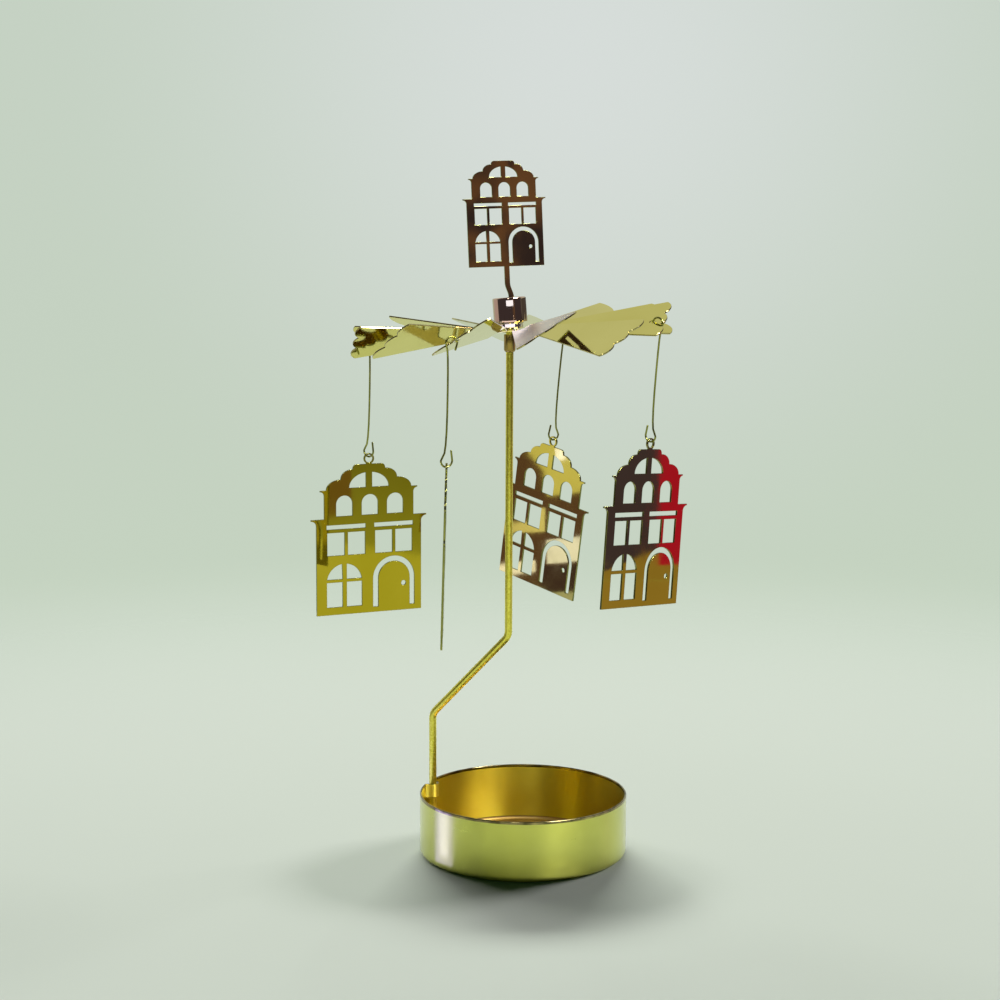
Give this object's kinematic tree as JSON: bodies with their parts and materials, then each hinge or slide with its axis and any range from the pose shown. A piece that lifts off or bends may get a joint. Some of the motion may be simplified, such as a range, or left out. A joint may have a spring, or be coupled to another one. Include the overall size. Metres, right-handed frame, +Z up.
{
  "type": "heat-driven rotary candlestick",
  "caption": "Heat-driven rotary candlestick in gilt sheet metal: a tea light cup, a bent rod with a pivot point, a vaned rotor and small gabled houses hanging from wire hooks.",
  "frame": {"origin": "middle of the cup's underside, where it stands on the table", "axes": "+Z up, +X to the viewer's right and +Y away from the front, with the bent rod planted at the back left of the cup"},
  "size_m": [0.0811, 0.0875, 0.1496],
  "materials": {
    "cup_gold": "satin pale gold plate",
    "rod_gold": "polished gold plate with fine drawing lines",
    "dark_brass": "aged, a little dull",
    "bearing_brass": "turned, bare",
    "bright_gold": "polished gold plate",
    "cap_gold": "polished gold plate",
    "top_gold": "polished gold plate",
    "house_gold": "polished gold plate",
    "wire_brass": "thin drawn wire, dull gold"
  },
  "bodies": {
    "base": {"tealight_cup": "cup_gold"},
    "stand": {"stand_rod": "rod_gold", "rod_sleeve": "dark_brass"},
    "bearing": {"pivot_bearing": "bearing_brass"},
    "rotor": {"vane_plate": "bright_gold", "hub_cap": "cap_gold"},
    "top_figure": {"top_house": "top_gold"},
    "hook_1": {"hook_1": "wire_brass"},
    "house_1": {"house_1": "house_gold"},
    "hook_2": {"hook_2": "wire_brass"},
    "house_2": {"house_2": "house_gold"},
    "hook_3": {"hook_3": "wire_brass"},
    "house_3": {"house_3": "house_gold"},
    "hook_4": {"hook_4": "wire_brass"},
    "house_4": {"house_4": "house_gold"}
  },
  "joints": [
    {"name": "rod_lift", "type": "slide", "parent": "base", "child": "stand", "axis": [0, 0, 1], "range_m": [0, 0.015]},
    {"name": "rotor_lift", "type": "slide", "parent": "stand", "child": "bearing", "axis": [0, 0, 1], "range_m": [0, 0.025]},
    {"name": "rotor_spin", "type": "hinge", "parent": "bearing", "child": "rotor", "pos_m": [-0.00335, 0, 0.118], "axis": [-0.0799, 0.0661, 0.9946], "continuous": true},
    {"name": "top_house_lift", "type": "slide", "parent": "rotor", "child": "top_figure", "axis": [-0.0799, 0.0661, 0.9946], "range_m": [0, 0.006]},
    {"name": "hook_swing_1", "type": "hinge", "parent": "rotor", "child": "hook_1", "pos_m": [-0.03304, 0.01073, 0.11], "axis": [0.5793, 0.8151, 0], "range_deg": [-7, 22]},
    {"name": "house_swing_1", "type": "hinge", "parent": "hook_1", "child": "house_1", "pos_m": [-0.03414, 0.01151, 0.08534], "axis": [-0.4131, 0.9107, 0], "range_deg": [-12, 12]},
    {"name": "hook_swing_2", "type": "hinge", "parent": "rotor", "child": "hook_2", "pos_m": [-0.01465, -0.03135, 0.11407], "axis": [-0.524, 0.8517, 0], "range_deg": [-7, 22]},
    {"name": "house_swing_2", "type": "hinge", "parent": "hook_2", "child": "house_2", "pos_m": [-0.01562, -0.03195, 0.0894], "axis": [-0.9997, -0.0262, 0], "range_deg": [-12, 12]},
    {"name": "hook_swing_3", "type": "hinge", "parent": "rotor", "child": "hook_3", "pos_m": [0.00796, 0.03014, 0.11158], "axis": [0.5388, -0.8425, 0], "range_deg": [-2, 25]},
    {"name": "house_swing_3", "type": "hinge", "parent": "hook_3", "child": "house_3", "pos_m": [0.00641, 0.02915, 0.08695], "axis": [0.7218, 0.6921, 0], "range_deg": [-12, 12]},
    {"name": "hook_swing_4", "type": "hinge", "parent": "rotor", "child": "hook_4", "pos_m": [0.02721, -0.01128, 0.11649], "axis": [-0.6613, -0.7501, 0], "range_deg": [-2, 25]},
    {"name": "house_swing_4", "type": "hinge", "parent": "hook_4", "child": "house_4", "pos_m": [0.02611, -0.0103, 0.09184], "axis": [-0.7337, 0.6794, 0], "range_deg": [-12, 12]}
  ]
}
